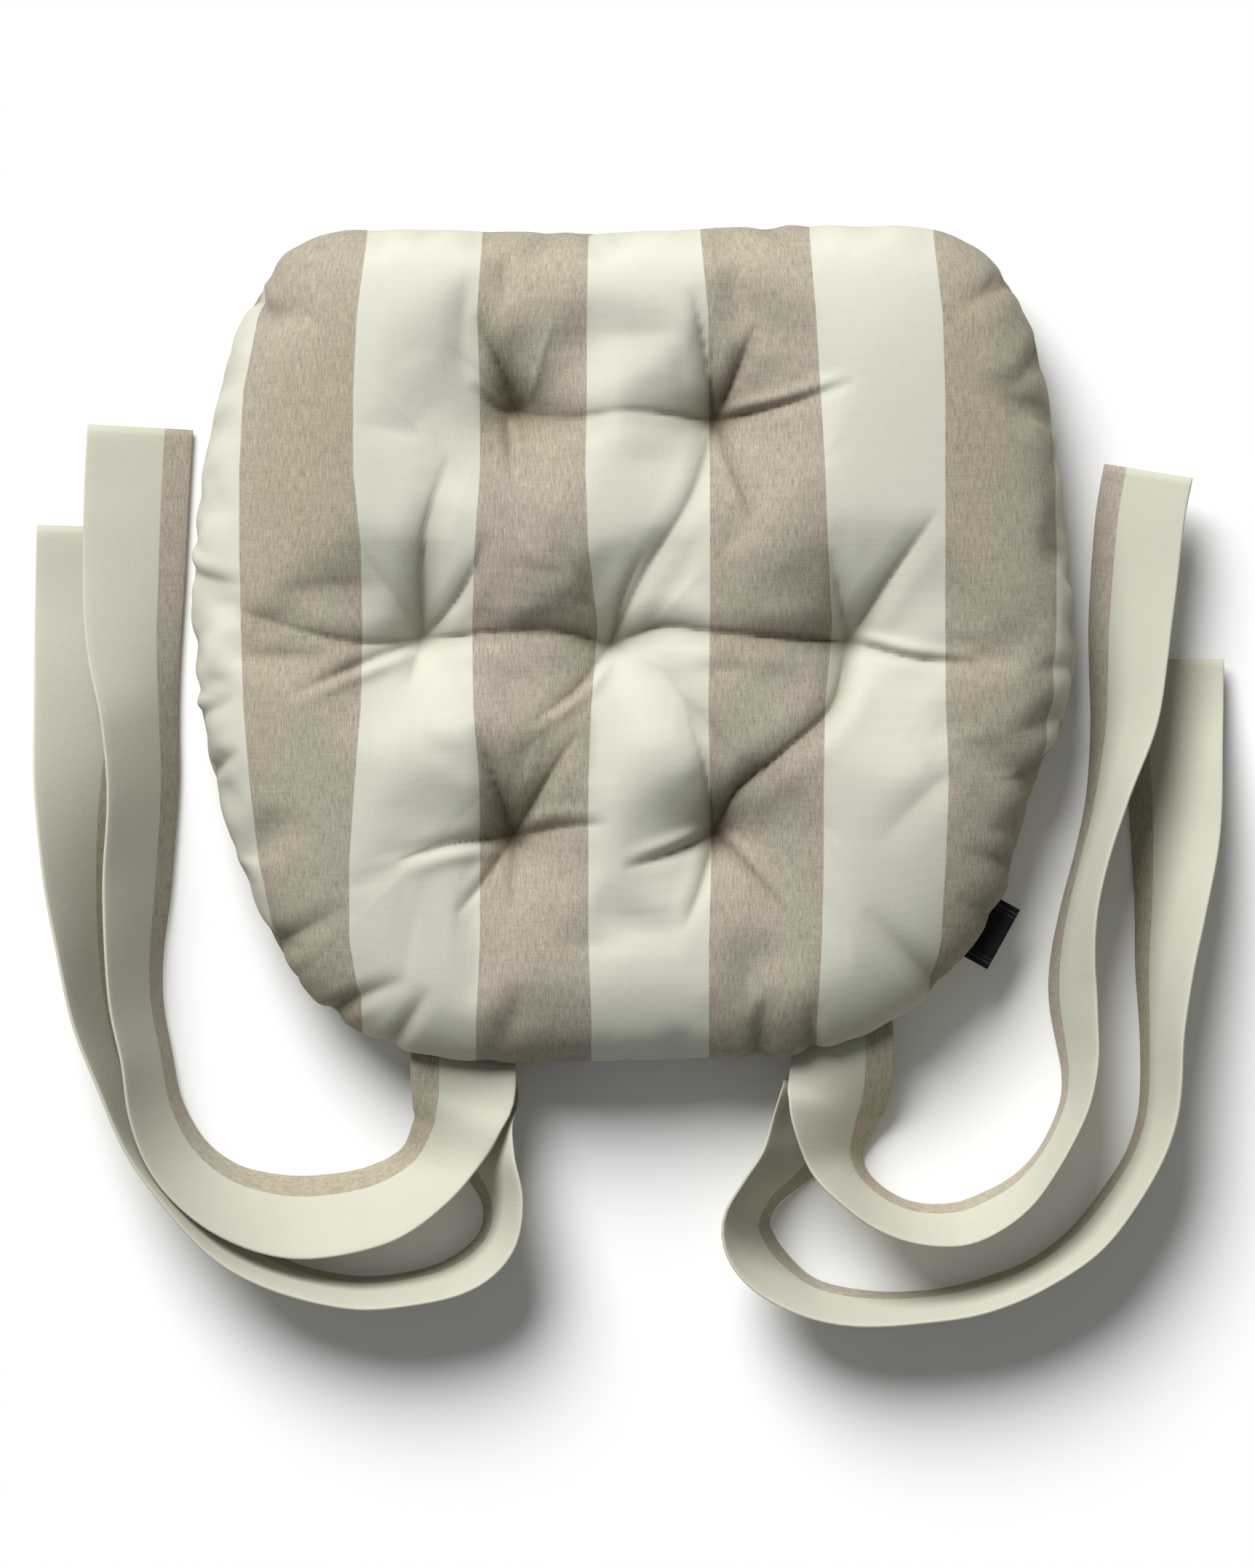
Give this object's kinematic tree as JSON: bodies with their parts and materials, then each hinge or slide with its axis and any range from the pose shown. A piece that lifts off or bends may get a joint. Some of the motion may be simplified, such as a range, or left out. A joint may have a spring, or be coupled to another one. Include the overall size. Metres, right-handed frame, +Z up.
{
  "type": "chair seat pad",
  "caption": "Tufted square seat pad with rounded corners, a striped cover, a side tag and strips at the rear that tie it to a chair.",
  "frame": {"origin": "centre of the pad's underside, on the plane it rests on", "axes": "+Z up out of the seat face, +Y towards the front edge, the ties leave the rear edge at -Y"},
  "size_m": [0.5453, 0.5031, 0.078],
  "materials": {
    "striped_canvas": "plain-woven cotton canvas, cream and taupe stripes",
    "tie_canvas": "the same canvas, turned and pressed",
    "polyester_fibre": "loose white fibre filling",
    "seam_thread": "matt sewing thread",
    "tufting_twine": "matt waxed twine",
    "woven_tag": "near-black damask weave"
  },
  "bodies": {
    "root": {"cover_top": "striped_canvas", "cover_bottom": "striped_canvas", "filling": "polyester_fibre", "seam_thread": "seam_thread", "closing_stitch": "seam_thread", "bartack_left": "seam_thread", "bartack_right": "seam_thread", "tuft_front_left": "tufting_twine", "tuft_front_right": "tufting_twine", "tuft_middle_left": "tufting_twine", "tuft_middle_centre": "tufting_twine", "tuft_middle_right": "tufting_twine", "tuft_rear_left": "tufting_twine", "tuft_rear_right": "tufting_twine"},
    "tie_left_lower": {"tie_left_lower": "tie_canvas"},
    "tie_left_upper": {"tie_left_upper": "tie_canvas"},
    "tie_right_lower": {"tie_right_lower": "tie_canvas"},
    "tie_right_upper": {"tie_right_upper": "tie_canvas"},
    "label": {"label": "woven_tag"}
  },
  "joints": [
    {"name": "tie_left_upper_fold", "type": "hinge", "parent": "root", "child": "tie_left_upper", "pos_m": [-0.07743, -0.19032, 0.028], "axis": [-0.9976, 0.0698, 0], "range_deg": [-80, 60]},
    {"name": "tie_left_lower_fold", "type": "hinge", "parent": "root", "child": "tie_left_lower", "pos_m": [-0.07743, -0.19032, 0.028], "axis": [-0.9976, 0.0698, 0], "range_deg": [-80, 60]},
    {"name": "tie_right_upper_fold", "type": "hinge", "parent": "root", "child": "tie_right_upper", "pos_m": [0.09545, -0.1813, 0.028], "axis": [-0.9613, -0.2756, 0], "range_deg": [-80, 60]},
    {"name": "tie_right_lower_fold", "type": "hinge", "parent": "root", "child": "tie_right_lower", "pos_m": [0.09545, -0.1813, 0.028], "axis": [-0.9613, -0.2756, 0], "range_deg": [-80, 60]},
    {"name": "label_flex", "type": "hinge", "parent": "root", "child": "label", "pos_m": [0.1592, -0.1296, 0.028], "axis": [-0.4848, -0.8746, 0], "range_deg": [-35, 35], "stiffness_Nm_per_rad": 0.0001}
  ],
  "couplings": [
    {"joint": "tie_left_lower_fold", "follows": "tie_left_upper_fold", "ratio": 1},
    {"joint": "tie_right_lower_fold", "follows": "tie_right_upper_fold", "ratio": 1}
  ]
}
